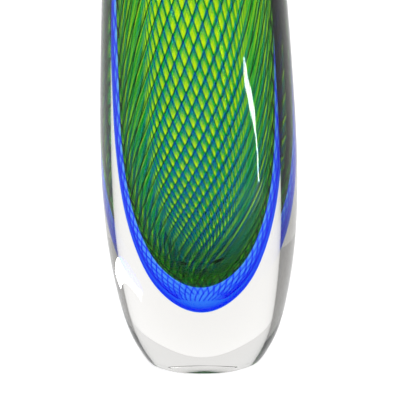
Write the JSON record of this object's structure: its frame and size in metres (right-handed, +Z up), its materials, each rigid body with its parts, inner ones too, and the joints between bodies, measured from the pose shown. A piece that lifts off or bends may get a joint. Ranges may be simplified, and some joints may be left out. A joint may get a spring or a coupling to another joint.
{
  "type": "cased glass vase",
  "caption": "Tall oval vase of thick clear glass over a blue and green core with fine dark blue spiral threads.",
  "frame": {"origin": "middle of the foot, on the surface that the vase stands on", "axes": "+Z up, +X along the wide axis of the oval body, +Y towards the back"},
  "size_m": [0.0896, 0.0704, 0.24],
  "materials": {
    "clear_glass": "gloss",
    "blue_glass": "gloss",
    "green_glass": "gloss",
    "thread_glass": "gloss"
  },
  "bodies": {
    "root": {"clear_casing": "clear_glass", "blue_overlay": "blue_glass", "green_liner": "green_glass", "thread_01": "thread_glass", "thread_02": "thread_glass", "thread_03": "thread_glass", "thread_04": "thread_glass", "thread_05": "thread_glass", "thread_06": "thread_glass", "thread_07": "thread_glass", "thread_08": "thread_glass", "thread_09": "thread_glass", "thread_10": "thread_glass", "thread_11": "thread_glass", "thread_12": "thread_glass", "thread_13": "thread_glass", "thread_14": "thread_glass", "thread_15": "thread_glass", "thread_16": "thread_glass", "thread_17": "thread_glass", "thread_18": "thread_glass", "thread_19": "thread_glass", "thread_20": "thread_glass", "thread_21": "thread_glass", "thread_22": "thread_glass", "thread_23": "thread_glass", "thread_24": "thread_glass", "thread_25": "thread_glass", "thread_26": "thread_glass", "thread_27": "thread_glass", "thread_28": "thread_glass", "thread_29": "thread_glass", "thread_30": "thread_glass", "thread_31": "thread_glass", "thread_32": "thread_glass", "thread_33": "thread_glass", "thread_34": "thread_glass"}
  },
  "joints": []
}
